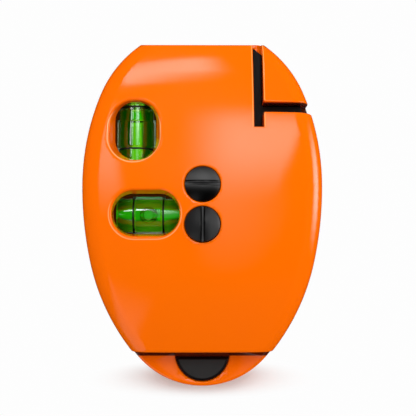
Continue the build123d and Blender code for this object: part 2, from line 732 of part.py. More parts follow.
def vial_fluid(level):
    """Liquid in the bore: with a bubble under its top when level, or short of the far end."""
    foot_x = -vial_length / 2 + vial_bottom + fluid_gap
    full_x = vial_length / 2 - plug_length - fluid_gap
    top_x = full_x if level else meniscus_at
    with BuildPart() as fluid:
        with Locations(Location(((foot_x + top_x) / 2, 0, 0), (0, 90, 0))):
            Cylinder(vial_bore_radius - fluid_gap, top_x - foot_x)
        if level:
            with Locations((0, 0, bubble_lift)):
                Sphere(bubble_radius, mode=Mode.SUBTRACT)
        else:
            with Locations((top_x + math.sqrt(meniscus_radius**2 - vial_bore_radius**2), 0, 0)):
                Sphere(meniscus_radius, mode=Mode.SUBTRACT)
    return fluid.part


def vial_plug():
    """Plug that closes the bore."""
    with BuildPart() as plug:
        with Locations(Location(((vial_length - plug_length) / 2, 0, 0), (0, 90, 0))):
            Cylinder(vial_bore_radius - fluid_gap, plug_length)
    return plug.part


def vial_rings():
    """Two thin black rings just outside the thick middle of the tube."""
    with BuildPart() as rings:
        for ring_x in (-ring_at, ring_at):
            with BuildSketch(Plane.YZ.offset(ring_x)):
                Circle(vial_end_radius + ring_thickness)
                Circle(vial_end_radius, mode=Mode.SUBTRACT)
            extrude(amount=ring_width / 2, both=True)
    return rings.part


def vial_envelope(gap):
    """The space that a vial with its rings takes up, with a gap round it."""
    with BuildPart() as space:
        with Locations(Location((0, 0, 0), (0, 90, 0))):
            Cylinder(vial_end_radius + gap, vial_length + 2 * gap)
            Cylinder(vial_middle_radius + gap, 2 * (ring_at + ring_width))
    return space.part


# Both vials are the same; the upright one is turned a quarter
vial_places = {
    "horizontal_vial": Pos(*flat_vial_centre),
    "vertical_vial": Pos(*upright_vial_centre) * Rot(0, 0, 90),
}
for vial_name, place in vial_places.items():
    finish(place * vial_tube(), f"{vial_name}_tube")
    finish(place * vial_fluid(level=vial_name == "horizontal_vial"), f"{vial_name}_fluid")
    finish(place * vial_plug(), f"{vial_name}_plug")
    finish(place * vial_rings(), f"{vial_name}_rings")

# Vial bracket: a trough under each vial, joined by a plate that is screwed to the dome's bosses
with BuildPart() as vial_bracket:
    trough_half_length = vial_length / 2 + trough_gap + trough_end_wall
    flat_x, flat_y, _ = flat_vial_centre
    upright_x, upright_y, _ = upright_vial_centre
    flat_block = box_between(
        (flat_x - trough_half_length, flat_y - trough_half_width, trough_bottom_z),
        (flat_x + trough_half_length, flat_y + trough_half_width, vial_z),
    )
    upright_block = box_between(
        (upright_x - trough_half_width, upright_y - trough_half_length, trough_bottom_z),
        (upright_x + trough_half_width, upright_y + trough_half_length, vial_z),
    )
    add(flat_block)
    add(upright_block)
    with BuildSketch(Plane.XY.offset(bracket_plate_z)):
        for arm in (bracket_arm, bracket_tab):
            with Locations(arm["at"]):
                RectangleRounded(*arm["size"], bracket_corner)
    extrude(amount=bracket_plate)
    for place in vial_places.values():
        add(place * vial_envelope(trough_gap), mode=Mode.SUBTRACT)
    for point in bracket_screw_points:
        add(post(point, small_hole_radius, 0, above_all), mode=Mode.SUBTRACT)
finish(vial_bracket.part, "vial_bracket")


def laser_barrel():
    """Brass tube along X with the lens seat at its front end, which is at the origin."""
    with BuildPart() as barrel:
        with Locations(Location((-barrel_length / 2, 0, 0), (0, 90, 0))):
            Cylinder(barrel_radius, barrel_length)
            Cylinder(barrel_bore_radius, barrel_length, mode=Mode.SUBTRACT)
        with Locations(Location((0, 0, 0), (0, 90, 0))):
            Cylinder(lens_radius + fluid_gap, 2 * lens_recess, mode=Mode.SUBTRACT)
    return barrel.part


def line_lens():
    """Small lens that spreads the beam into a line: a disc with a half-round rib across it."""
    with BuildPart() as lens:
        with Locations(Location((-lens_recess + lens_thickness / 2, 0, 0), (0, 90, 0))):
            Cylinder(lens_radius, lens_thickness)
        with BuildSketch():
            with Locations((-lens_recess + lens_thickness, 0)):
                Circle(lens_rib_radius)
        extrude(amount=lens_rib_half, both=True)
    return lens.part


# Lasers: one fires along the cross slot, the other along the upright slot
trench_left_x = slot_left - trench_wall
trench_foot_y = slot_foot - trench_wall
laser_places = {
    "horizontal_laser": Pos(trench_left_x - barrel_standoff, laser_y, beam_z),
    "vertical_laser": Pos(laser_x, trench_foot_y - barrel_standoff, beam_z) * Rot(0, 0, 90),
}
for laser_name, place in laser_places.items():
    finish(place * laser_barrel(), f"{laser_name}_barrel")
    finish(place * line_lens(), f"{laser_name}_lens")

# Laser mount: an angled plate with a saddle for each barrel
with BuildPart() as laser_mount:
    for low_corner, high_corner in mount_plate_corners:
        add(box_between((*low_corner, mount_plate_z), (*high_corner, mount_plate_z + mount_plate)))
    for point in mount_screw_points:
        add(post(point, small_hole_radius, 0, above_all), mode=Mode.SUBTRACT)
    for place in laser_places.values():
        with Locations(place * Pos(-barrel_length / 2, 0, (collar_top_z + mount_plate_z) / 2 - beam_z)):
            Box(collar_length, collar_side, collar_top_z - mount_plate_z)
        with Locations(place * Pos(-barrel_length / 2, 0, 0) * Rot(0, 90, 0)):
            Cylinder(barrel_radius + barrel_gap, 2 * barrel_length, mode=Mode.SUBTRACT)
finish(laser_mount.part, "laser_mount")


def pan_screw(head_radius, head_height, shank_radius, shank_length):
    """A screw pointing up, its head below the origin, with a cross recess."""
    with BuildPart() as screw:
        add(post((0, 0), head_radius, -head_height, 0))
        fillet(screw.edges().group_by(Axis.Z)[0], head_height / 3)
        for turn in (0, 90):
            with BuildSketch(Plane.XY.offset(-head_height)):
                Rectangle(2 * drive_reach * head_radius, drive_width, rotation=turn)
            extrude(amount=drive_depth, mode=Mode.SUBTRACT)
        add(post((0, 0), shank_radius, 0, shank_length))
        chamfer(screw.edges().group_by(Axis.Z)[-1], shank_radius / 2)
    return screw.part


# Fasteners, each kind as one group
case_screw = pan_screw(case_head_radius, case_head_height, case_shank_radius, case_shank_top_z - case_seat_z)
with BuildPart() as case_screws:
    for x, y in case_screw_points:
        add(Pos(x, y, case_seat_z) * case_screw)
finish(case_screws.part, "case_screws")

small_screw = pan_screw(small_head_radius, small_head_height, small_shank_radius, small_shank_length)
with BuildPart() as inner_screws:
    for points, seat_z in (
        (board_screw_points, board_z),
        (bracket_screw_points, bracket_plate_z),
        (mount_screw_points, mount_plate_z),
    ):
        for x, y in points:
            add(Pos(x, y, seat_z) * small_screw)
finish(inner_screws.part, "inner_screws")


def cell():
    """AAA cell along X with its nub at the far end."""
    body_end = cell_length / 2 - nub_height
    with BuildPart() as battery:
        with BuildSketch(Plane.XY):
            with BuildLine():
                Polyline(
                    (-cell_length / 2, 0),
                    (-cell_length / 2, cell_radius - cell_edge),
                    (-cell_length / 2 + cell_edge, cell_radius),
                    (body_end - cell_edge, cell_radius),
                    (body_end, cell_radius - cell_edge),
                    (body_end, nub_radius),
                    (body_end + nub_height, nub_radius),
                    (body_end + nub_height, 0),
                    close=True,
                )
            make_face()
        revolve(axis=Axis.X)
    return battery.part


# Cells lie head to tail, each with its nub against a plate's pip and its foot against a leaf
nub_reach = bay_half_length - contact_thickness - contact_pip
cell_middle_x = nub_reach - cell_length / 2
upper_cell_y, lower_cell_y = cell_ys
finish(Pos(cell_middle_x, upper_cell_y, cell_z) * cell(), "upper_battery")
finish(Pos(-cell_middle_x, lower_cell_y, cell_z) * Rot(0, 0, 180) * cell(), "lower_battery")


def contact_plate(low_y, high_y):
    """Plate on the bay's far end wall."""
    return box_between(
        (bay_half_length - contact_thickness, low_y, contact_low_z),
        (bay_half_length, high_y, contact_high_z),
    )


def contact_pip_at(y):
    """Raised pip that touches a nub."""
    with BuildPart() as pip:
        with Locations(Location((nub_reach + contact_pip / 2, y, cell_z), (0, 90, 0))):
            Cylinder(contact_pip_radius, contact_pip)
    return pip.part


def contact_leaf_at(y):
    """Bent leaf that reaches from the plate to a cell's foot."""
    foot_x = bay_half_length - contact_thickness / 2
    with BuildPart() as leaf:
        with BuildSketch(Plane.XZ.offset(-y)):
            with BuildLine():
                FilletPolyline(
                    (foot_x, contact_low_z + leaf_inset),
                    (leaf_corner_x, cell_z),
                    (foot_x, contact_high_z - leaf_inset),
                    radius=4 * leaf_thickness,
                )
                offset(amount=leaf_thickness, side=Side.LEFT)
            make_face()
        extrude(amount=leaf_half_width, both=True)
    return leaf.part


# Contacts: one plate bridges the two cells, the other two carry the leads
with BuildPart() as bridge_contact:
    add(contact_plate(-upper_cell_y - plate_half, -lower_cell_y + plate_half))
    add(contact_leaf_at(-upper_cell_y))
    add(contact_pip_at(-lower_cell_y))
finish(Rot(0, 0, 180) * bridge_contact.part, "bridge_contact")

with BuildPart() as positive_contact:
    add(contact_plate(upper_cell_y - plate_half, upper_cell_y + plate_half))
    add(contact_pip_at(upper_cell_y))
finish(positive_contact.part, "positive_contact")

with BuildPart() as negative_contact:
    add(contact_plate(lower_cell_y - plate_half, lower_cell_y + plate_half))
    add(contact_leaf_at(lower_cell_y))
finish(negative_contact.part, "negative_contact")


def lead(*points):
    """An insulated lead that runs through the points with rounded bends."""
    with BuildPart() as wire:
        with BuildLine() as route:
            FilletPolyline(*points, radius=lead_bend)
        with BuildSketch(Plane(origin=route.line @ 0, z_dir=route.line % 0)):
            Circle(lead_radius)
        sweep()
    return wire.part


# Leads from the contacts to the board's edge, and from the board's top into the back of each laser
lead_start_x = bay_half_length + lead_gap
outside_x = bay_half_length + bay_side_wall + lead_radius + lead_gap
board_middle_z = board_z + board_thickness / 2
over_bay_z = bay_top_z + bay_roof + lead_radius + 2 * lead_gap
positive_lead = lead(
    (lead_start_x, positive_lead_y, lead_hole_z),
    (outside_x, positive_lead_y, lead_hole_z),
    (outside_x, positive_lead_y + 6, board_middle_z),
    (board_right + lead_gap, positive_lead_y + 8, board_middle_z),
)
finish(positive_lead, "positive_lead")
negative_lead = lead(
    (lead_start_x, negative_lead_y, lead_hole_z),
    (outside_x, negative_lead_y, lead_hole_z),
    (outside_x, negative_lead_y, over_bay_z),
    (board_right + 6, board_low + 4, board_middle_z),
    (board_right + lead_gap, board_low + 4, board_middle_z),
)
finish(negative_lead, "negative_lead")
board_top_z = switch_foot_z + lead_gap
horizontal_laser_lead = lead(
    (trench_left_x - barrel_length + lead_bend, laser_y, beam_z),
    (trench_left_x - barrel_length - lead_drop, laser_y, beam_z),
    (board_left + 9, board_high - 2, board_top_z + lead_drop),
    (board_left + 9, board_high - 2, board_top_z),
)
finish(horizontal_laser_lead, "horizontal_laser_lead")
vertical_laser_lead = lead(
    (laser_x, trench_foot_y - barrel_length + lead_bend, beam_z),
    (laser_x, trench_foot_y - barrel_length - lead_drop, beam_z),
    (board_right - 2, trench_foot_y - barrel_length - 6, board_top_z + lead_drop),
    (board_right - 2, trench_foot_y - barrel_length - 6, board_top_z),
)
finish(vertical_laser_lead, "vertical_laser_lead")
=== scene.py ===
# Pocket laser level: finishes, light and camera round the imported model
import json
import math
import bpy
from mathutils import Matrix, Vector


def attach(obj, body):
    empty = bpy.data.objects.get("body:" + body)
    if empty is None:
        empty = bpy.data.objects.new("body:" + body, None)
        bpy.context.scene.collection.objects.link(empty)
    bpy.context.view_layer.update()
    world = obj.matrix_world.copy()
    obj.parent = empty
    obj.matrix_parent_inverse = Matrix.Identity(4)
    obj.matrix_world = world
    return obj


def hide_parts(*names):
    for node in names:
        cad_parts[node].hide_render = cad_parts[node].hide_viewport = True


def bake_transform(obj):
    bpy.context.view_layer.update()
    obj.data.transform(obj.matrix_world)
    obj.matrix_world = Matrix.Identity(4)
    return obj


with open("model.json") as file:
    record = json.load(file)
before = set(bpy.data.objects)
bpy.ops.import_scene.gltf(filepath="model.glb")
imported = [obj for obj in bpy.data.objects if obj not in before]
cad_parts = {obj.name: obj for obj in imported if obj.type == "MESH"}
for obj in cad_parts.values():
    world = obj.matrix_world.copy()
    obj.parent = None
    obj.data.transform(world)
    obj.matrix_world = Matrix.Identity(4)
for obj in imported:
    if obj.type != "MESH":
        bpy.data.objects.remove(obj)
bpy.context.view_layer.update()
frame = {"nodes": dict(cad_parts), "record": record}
nodes = frame["nodes"]
bodies = frame["record"]["behaviour"]["bodies"]
bodyOf = {node: body for body, members in bodies.items() for node in members}
mm = 0.001
print("frame loaded:", len(nodes), "nodes")


# Camera: above the lower half of the case, looking a little up along it
camera = {
    "place": (0.07, -20.03, 300.0),
    "target": (1.93, 1.65, 20.0),
    "lens": 71.74,
    "sensor": 36.0,
    "nearest": 5.0,
}


def addCamera():
    place = Vector(camera["place"]) * mm
    forward = (Vector(camera["target"]) * mm - place).normalized()
    right = forward.cross(Vector((0, 1, 0))).normalized()
    up = right.cross(forward)
    data = bpy.data.cameras.new("camera")
    data.lens = camera["lens"]
    data.sensor_width = camera["sensor"]
    data.clip_start = camera["nearest"] * mm
    view = bpy.data.objects.new("camera", data)
    view.matrix_world = Matrix((right, up, -forward)).transposed().to_4x4()
    view.location = place
    bpy.context.scene.collection.objects.link(view)
    bpy.context.scene.camera = view


addCamera()
bpy.context.scene.view_settings.view_transform = "Standard"


# Node helpers
def newMaterial(name):
    material = bpy.data.materials.new(name)
    material.use_nodes = True
    tree = material.node_tree
    shader = tree.nodes["Principled BSDF"]
    return material, tree, shader


def addNode(tree, kind, **values):
    node = tree.nodes.new(kind)
    for key, value in values.items():
        if hasattr(node, key):
            setattr(node, key, value)
        else:
            node.inputs[key.replace("_", " ")].default_value = value
    return node


def objectPlace(tree):
    return addNode(tree, "ShaderNodeTexCoord").outputs["Object"]


def splitPlace(tree, place):
    split = addNode(tree, "ShaderNodeSeparateXYZ")
    tree.links.new(place, split.inputs["Vector"])
    return split.outputs


def smoothStep(tree, source, start, end):
    span = addNode(tree, "ShaderNodeMapRange", interpolation_type="SMOOTHSTEP")
    span.inputs["From Min"].default_value = start
    span.inputs["From Max"].default_value = end
    tree.links.new(source, span.inputs["Value"])
    return span.outputs["Result"]


def combine(tree, operation, first, second=0):
    node = addNode(tree, "ShaderNodeMath", operation=operation)
    for socket, value in zip(node.inputs, (first, second)):
        if isinstance(value, (int, float)):
            socket.default_value = value
        else:
            tree.links.new(value, socket)
    return node.outputs["Value"]


def mixColour(tree, factor, first, second):
    mix = addNode(tree, "ShaderNodeMix", data_type="RGBA")
    tree.links.new(factor, mix.inputs["Factor"])
    for socket, value in ((mix.inputs["A"], first), (mix.inputs["B"], second)):  # colours or sockets
        if isinstance(value, tuple):
            socket.default_value = value
        else:
            tree.links.new(value, socket)
    return mix.outputs["Result"]


def softBall(tree, middle, radii):
    centred = addNode(tree, "ShaderNodeMapping", vector_type="TEXTURE")
    centred.inputs["Location"].default_value = Vector(middle) * mm
    centred.inputs["Scale"].default_value = Vector(radii) * mm
    tree.links.new(objectPlace(tree), centred.inputs["Vector"])
    ball = addNode(tree, "ShaderNodeTexGradient", gradient_type="SPHERICAL")
    tree.links.new(centred.outputs["Vector"], ball.inputs["Vector"])
    return ball.outputs["Fac"]


def addSpot(tree, spot):
    return smoothStep(tree, softBall(tree, spot["middle"], spot["radii"]), 0, spot["fade"])


# Studio: soft panels round the object, each with its own brightness and how far its edges fade in, in mm.
# The edges of a glow are shares of the panel's width
panels = {
    "keyPanel": {
        "middle": (133, 107, 700), "size": (416, 816), "strength": 3.5, "lean": 245,
        "fade": {"left": 185, "right": 34, "high": 155}, "lowFade": (310, 600),
        "glow": {
            "middle": (68, 60, 700), "radii": (170, 340, 1000), "strength": 0.85, "edges": (0.07, 0.25),
        },
    },
    "topPanel": {
        "middle": (-103, 770, 700), "size": (425, 240), "turn": (0, 0, 13), "strength": 4.8,
        "fade": {"left": 50, "right": 130, "low": 100, "high": 60},
    },
    "leftStrip": {
        "middle": (-310, 255, 700), "size": (180, 620), "turn": (0, 0, 7), "strength": 2.5,
        "fade": {"left": 140, "right": 35, "low": 290, "high": 110},
    },
    "leftPanel": {
        "middle": (-353, -485, 490), "size": (395, 1380), "turn": (90, 0, -36), "strength": 0.64,
        "fade": {"left": 140, "right": 40, "low": 250, "high": 560},
    },
    "rightPanel": {
        "middle": (700, 120, 110), "size": (620, 620), "turn": (90, 0, 90), "strength": 6.0,
        "fade": {"left": 230, "right": 300, "low": 250, "high": 250},
    },
}


def panelLevel(tree, values):
    width, height = values["size"]
    place = splitPlace(tree, addNode(tree, "ShaderNodeTexCoord").outputs["UV"])
    level = values["strength"]
    across = place["X"]
    if "lean" in values:  # the right edge leans inward towards the foot
        drop = combine(tree, "SUBTRACT", 1, place["Y"])
        across = combine(tree, "ADD", across, combine(tree, "MULTIPLY", drop, values["lean"] / width))
    edges = (
        ("left", place["X"], 0, width), ("right", across, 1, -width),
        ("low", place["Y"], 0, height), ("high", place["Y"], 1, -height),
    )
    for side, source, edge, length in edges:
        if side in values["fade"]:
            soft = smoothStep(tree, source, edge, edge + values["fade"][side] / length)
            level = combine(tree, "MULTIPLY", soft, level)
    if "lowFade" in values:
        start, end = values["lowFade"]
        soft = smoothStep(tree, place["Y"], start / height, end / height)
        level = combine(tree, "MULTIPLY", level, soft)
    if "glow" in values:
        glow = values["glow"]
        ball = combine(tree, "MULTIPLY", softBall(tree, glow["middle"], glow["radii"]), glow["strength"])
        soft = smoothStep(tree, place["X"], *glow["edges"])
        level = combine(tree, "ADD", level, combine(tree, "MULTIPLY", ball, soft))
    return level


def addPanel(name, values):
    width, height = values["size"]
    bpy.ops.object.select_all(action="DESELECT")
    bpy.ops.mesh.primitive_plane_add(size=1)
    panel = bpy.context.object
    panel.name = name
    panel.scale = (width * mm, height * mm, 1)
    panel.location = Vector(values["middle"]) * mm
    panel.rotation_euler = [math.radians(angle) for angle in values.get("turn", (0, 0, 0))]
    bpy.ops.object.transform_apply(location=True, rotation=True, scale=True)
    material = bpy.data.materials.new(name)
    material.use_nodes = True
    tree = material.node_tree
    tree.nodes.clear()
    light = addNode(tree, "ShaderNodeEmission")
    tree.links.new(panelLevel(tree, values), light.inputs["Strength"])
    output = addNode(tree, "ShaderNodeOutputMaterial")
    tree.links.new(light.outputs["Emission"], output.inputs["Surface"])
    panel.data.materials.append(material)
    panel.visible_camera = False


# Room: white paper, on which the camera sees shade only close round the level, and a plain sky
room = {
    "floorSize": 6.0,
    "floorColour": (0.93, 0.925, 0.92, 1),
    "floorRoughness": 0.9,
    "floorSpecular": 0.0,
    "skyColour": (1, 1, 1, 1),
    "ambient": 0.8,
    "white": 0.985,
    "shadowSpots": (
        {"middle": (0, 2, 0), "radii": (41, 60, 1000), "fade": 0.05},
        {"middle": (0, -58, 0), "radii": (43, 7.2, 1000), "fade": 0.7},
    ),
}


def addFloor():
    bpy.ops.object.select_all(action="DESELECT")
    bpy.ops.mesh.primitive_plane_add(size=room["floorSize"])
    floor = bpy.context.object
    floor.name = "floor"
    material, tree, shader = newMaterial("floorPaper")
    shader.inputs["Base Color"].default_value = room["floorColour"]
    shader.inputs["Roughness"].default_value = room["floorRoughness"]
    shader.inputs["Specular IOR Level"].default_value = room["floorSpecular"]
    kept = combine(tree, "MAXIMUM", *[addSpot(tree, spot) for spot in room["shadowSpots"]])
    path = addNode(tree, "ShaderNodeLightPath")
    clear = combine(tree, "MULTIPLY", path.outputs["Is Camera Ray"], combine(tree, "SUBTRACT", 1, kept))
    white = addNode(tree, "ShaderNodeEmission", Strength=room["white"])
    mix = addNode(tree, "ShaderNodeMixShader")
    tree.links.new(clear, mix.inputs["Fac"])
    tree.links.new(shader.outputs["BSDF"], mix.inputs[1])
    tree.links.new(white.outputs["Emission"], mix.inputs[2])
    tree.links.new(mix.outputs["Shader"], tree.nodes["Material Output"].inputs["Surface"])
    floor.data.materials.append(material)
    floor.visible_glossy = False


def addWorld():
    world = bpy.data.worlds.new("studio")
    bpy.context.scene.world = world
    world.use_nodes = True
    world.cycles_visibility.glossy = False
    tree = world.node_tree
    tree.nodes.clear()
    path = addNode(tree, "ShaderNodeLightPath")
    level = combine(tree, "MULTIPLY", path.outputs["Is Camera Ray"], room["white"] - room["ambient"])
    sky = addNode(tree, "ShaderNodeBackground", Color=room["skyColour"])
    tree.links.new(combine(tree, "ADD", level, room["ambient"]), sky.inputs["Strength"])
    output = addNode(tree, "ShaderNodeOutputWorld")
    tree.links.new(sky.outputs["Background"], output.inputs["Surface"])


# Fill: a weak round lamp above the flat end, left out of every highlight
fill = {"place": (0, 190, 420), "target": (0, 20, 10), "size": 300, "power": 0.75}


def addFill():
    data = bpy.data.lights.new("fill", "AREA")
    data.shape = "DISK"
    data.size = fill["size"] * mm
    data.energy = fill["power"]
    lamp = bpy.data.objects.new("fill", data)
    lamp.location = Vector(fill["place"]) * mm
    aim = Vector(fill["target"]) * mm - lamp.location
    lamp.rotation_euler = aim.to_track_quat("-Z", "Y").to_euler()
    lamp.visible_glossy = False
    bpy.context.scene.collection.objects.link(lamp)


addFloor()
addFill()
addWorld()
for panelName, panelValues in panels.items():
    addPanel(panelName, panelValues)
print("studio set")


# Moulded skin: slow tone change, fine grain and a roughness that wanders with the tone
skinNoise = {"toneDetail": 3.0, "grainDetail": 2.0, "toneSpread": (0.3, 0.7), "bumpHeight": 0.05}


def buildMouldedSkin():
    group = bpy.data.node_groups.new("mouldedSkin", "ShaderNodeTree")
    sockets = (
        ("Colour", "NodeSocketColor", (0.8, 0.8, 0.8, 1)),
        ("Deep Colour", "NodeSocketColor", (0.7, 0.7, 0.7, 1)),
        ("Tone Scale", "NodeSocketFloat", 30.0),
        ("Grain Scale", "NodeSocketFloat", 1800.0),
        ("Grain Depth", "NodeSocketFloat", 0.02),
        ("Smooth", "NodeSocketFloat", 0.2),
        ("Rough", "NodeSocketFloat", 0.3),
    )
    for name, kind, value in sockets:
        socket = group.interface.new_socket(name, in_out="INPUT", socket_type=kind)
        socket.default_value = value
    group.interface.new_socket("Colour", in_out="OUTPUT", socket_type="NodeSocketColor")
    group.interface.new_socket("Roughness", in_out="OUTPUT", socket_type="NodeSocketFloat")
    group.interface.new_socket("Normal", in_out="OUTPUT", socket_type="NodeSocketVector")
    given = addNode(group, "NodeGroupInput")
    result = addNode(group, "NodeGroupOutput")
    place = objectPlace(group)
    tone = addNode(group, "ShaderNodeTexNoise", Detail=skinNoise["toneDetail"])
    group.links.new(place, tone.inputs["Vector"])
    group.links.new(given.outputs["Tone Scale"], tone.inputs["Scale"])
    grain = addNode(group, "ShaderNodeTexNoise", Detail=skinNoise["grainDetail"])
    group.links.new(place, grain.inputs["Vector"])
    group.links.new(given.outputs["Grain Scale"], grain.inputs["Scale"])
    mixed = mixColour(group, tone.outputs["Fac"], given.outputs["Colour"], given.outputs["Deep Colour"])
    group.links.new(mixed, result.inputs["Colour"])
    span = addNode(group, "ShaderNodeMapRange")
    span.inputs["From Min"].default_value, span.inputs["From Max"].default_value = skinNoise["toneSpread"]
    group.links.new(tone.outputs["Fac"], span.inputs["Value"])
    group.links.new(given.outputs["Smooth"], span.inputs["To Min"])
    group.links.new(given.outputs["Rough"], span.inputs["To Max"])
    group.links.new(span.outputs["Result"], result.inputs["Roughness"])
    bump = addNode(group, "ShaderNodeBump", Distance=skinNoise["bumpHeight"] * mm)
    group.links.new(grain.outputs["Fac"], bump.inputs["Height"])
    group.links.new(given.outputs["Grain Depth"], bump.inputs["Strength"])
    group.links.new(bump.outputs["Normal"], result.inputs["Normal"])
    return group


mouldedSkin = buildMouldedSkin()

plastics = {
    "shell_plastic": {
        "Colour": (0.985, 0.154, 0.0004, 1), "Deep Colour": (0.97, 0.147, 0.0002, 1), "Tone Scale": 35.0,
        "Grain Scale": 2600.0, "Grain Depth": 0.02, "Smooth": 0.06, "Rough": 0.09,
    },
    "black_plastic": {
        "Colour": (0.004, 0.004, 0.0045, 1), "Deep Colour": (0.003, 0.003, 0.003, 1), "Tone Scale": 90.0,
        "Grain Scale": 3200.0, "Grain Depth": 0.12, "Smooth": 0.55, "Rough": 0.65,
    },
    "button_plastic": {
        "Colour": (0.014, 0.014, 0.0145, 1), "Deep Colour": (0.012, 0.012, 0.0125, 1), "Tone Scale": 160.0,
        "Grain Scale": 3600.0, "Grain Depth": 0.08, "Smooth": 0.38, "Rough": 0.46,
    },
    "switch_plastic": {
        "Colour": (0.022, 0.022, 0.023, 1), "Deep Colour": (0.015, 0.015, 0.016, 1), "Tone Scale": 300.0,
        "Grain Scale": 5000.0, "Grain Depth": 0.2, "Smooth": 0.45, "Rough": 0.6,
    },
    "board": {
        "Colour": (0.008, 0.14, 0.045, 1), "Deep Colour": (0.005, 0.1, 0.03, 1), "Tone Scale": 220.0,
        "Grain Scale": 4000.0, "Grain Depth": 0.15, "Smooth": 0.25, "Rough": 0.36,
    },
    "bracket_plastic": {
        "Colour": (0.72, 0.74, 0.68, 1), "Deep Colour": (0.66, 0.68, 0.62, 1), "Tone Scale": 120.0,
        "Grain Scale": 2400.0, "Grain Depth": 0.2, "Smooth": 0.4, "Rough": 0.52,
    },
    "ring_black": {
        "Colour": (0.006, 0.006, 0.006, 1), "Deep Colour": (0.003, 0.003, 0.003, 1), "Tone Scale": 500.0,
        "Grain Scale": 6000.0, "Grain Depth": 0.1, "Smooth": 0.35, "Rough": 0.5,
    },
    "cell_jacket": {
        "Colour": (0.055, 0.065, 0.075, 1), "Deep Colour": (0.04, 0.045, 0.055, 1), "Tone Scale": 70.0,
        "Grain Scale": 1500.0, "Grain Depth": 0.08, "Smooth": 0.22, "Rough": 0.32,
    },
    "red_cover": {
        "Colour": (0.52, 0.018, 0.016, 1), "Deep Colour": (0.42, 0.012, 0.011, 1), "Tone Scale": 400.0,
        "Grain Scale": 3000.0, "Grain Depth": 0.15, "Smooth": 0.4, "Rough": 0.5,
    },
    "black_cover": {
        "Colour": (0.016, 0.016, 0.016, 1), "Deep Colour": (0.01, 0.01, 0.01, 1), "Tone Scale": 400.0,
        "Grain Scale": 3000.0, "Grain Depth": 0.15, "Smooth": 0.4, "Rough": 0.5,
    },
}

metals = {
    "barrel_brass": {"Colour": (0.68, 0.46, 0.17, 1), "Deep Colour": (0.58, 0.37, 0.12, 1)},
    "screw_steel": {"Colour": (0.5, 0.5, 0.52, 1), "Deep Colour": (0.4, 0.4, 0.42, 1)},
    "contact_steel": {"Colour": (0.64, 0.63, 0.6, 1), "Deep Colour": (0.54, 0.53, 0.5, 1)},
}
metalSkin = {"Tone Scale": 300.0, "Grain Scale": 4000.0, "Grain Depth": 0.1, "Smooth": 0.2, "Rough": 0.34}

# How strongly each finish mirrors; the ones that aren't named have the usual value
shine = {
    "usual": 0.5, "black_plastic": 0.2, "bracket_plastic": 0.0,
    "horizontal_line_button": 0.4, "vertical_line_button": 0.4,
}


def skinMaterial(name, values, metallic=0.0):
    material, tree, shader = newMaterial(name)
    skin = addNode(tree, "ShaderNodeGroup", node_tree=mouldedSkin)
    for key, value in values.items():
        skin.inputs[key].default_value = value
    tree.links.new(skin.outputs["Colour"], shader.inputs["Base Color"])
    tree.links.new(skin.outputs["Roughness"], shader.inputs["Roughness"])
    tree.links.new(skin.outputs["Normal"], shader.inputs["Normal"])
    shader.inputs["Metallic"].default_value = metallic
    shader.inputs["Specular IOR Level"].default_value = shine.get(name, shine["usual"])
    return material


# Troughs, with painted light and shade: pale and bright along the lines where each vial gathers the light
# and in a patch under the level vial, painted light; dark green beside them and brown on the rim, painted
# shade
troughs = {
    "rim": {"colour": (0.035, 0.008, 0.001, 1), "heights": (17.2, 17.5)},
    "sideColour": (0.022, 0.06, 0.016, 1),
    "strip": {"middle": -23.05, "halfWidth": 1.05, "inner": 0.45, "ends": (13.5, 15.0)},
    "bright": {
        "colour": (0.09, 0.46, 0.16, 1), "middle": (-18.1, -0.2, 12.0), "radii": (14, 1.1, 9), "fade": 0.35,
    },
    "lineColour": (0.62, 0.68, 0.55, 1),
    "lines": (
        {"middle": (-28.2, 26.6, 16), "radii": (1.5, 12, 5), "fade": 0.8},
        {"middle": (-17.0, 26.6, 16), "radii": (1.5, 12, 5), "fade": 0.8},
        {"middle": (-18.1, -0.85, 17.75), "radii": (14, 9, 9), "fade": 0.75},
    ),
}


def paintTroughs(material):
    tree = material.node_tree
    place = splitPlace(tree, objectPlace(tree))
    strip = troughs["strip"]
    away = combine(tree, "ABSOLUTE", combine(tree, "SUBTRACT", place["X"], strip["middle"] * mm))
    line = smoothStep(tree, away, strip["halfWidth"] * mm, strip["inner"] * mm)
    foot, top = (end * mm for end in strip["ends"])
    line = combine(tree, "MULTIPLY", line, smoothStep(tree, place["Y"], foot, top))
    for spot in troughs["lines"]:
        line = combine(tree, "MAXIMUM", line, addSpot(tree, spot))
    inside = mixColour(tree, line, troughs["sideColour"], troughs["lineColour"])
    inside = mixColour(tree, addSpot(tree, troughs["bright"]), inside, troughs["bright"]["colour"])
    low, high = (height * mm for height in troughs["rim"]["heights"])
    colour = mixColour(tree, smoothStep(tree, place["Z"], low, high), inside, troughs["rim"]["colour"])
    tree.links.new(colour, tree.nodes["Principled BSDF"].inputs["Base Color"])


finishes = {slot: skinMaterial(slot, values) for slot, values in plastics.items()}
paintTroughs(finishes["bracket_plastic"])
for slot, values in metals.items():
    finishes[slot] = skinMaterial(slot, {**values, **metalSkin}, metallic=1.0)

# Glass: the bore bends light little where liquid wets it, and the liquid only at its free surface.
# A shade is what it lets through of the light that goes straight on
glasses = {
    "vial_clear": {"colour": (0.97, 1.0, 0.97, 1), "shade": (0.6, 0.63, 0.6, 1), "ior": 1.49, "coat": 1.0},
    "vialWetBore": {"colour": (1.0, 1.0, 1.0, 1), "shade": (1.0, 1.0, 1.0, 1), "ior": 1.04},
    "vial_liquid": {"colour": (0.22, 0.9, 0.015, 1), "shade": (0.24, 0.62, 0.08, 1), "ior": 1.0},
    "liquidSurface": {"colour": (1.0, 1.0, 1.0, 1), "shade": (1.0, 1.0, 1.0, 1), "ior": 1.09},
    "vialPlug": {"colour": (0.3, 0.9, 0.05, 1), "shade": (0.5, 0.95, 0.2, 1), "ior": 1.49},
    "lens_glass": {"colour": (0.95, 0.97, 1.0, 1), "shade": (0.95, 0.97, 1.0, 1), "ior": 1.5},
}
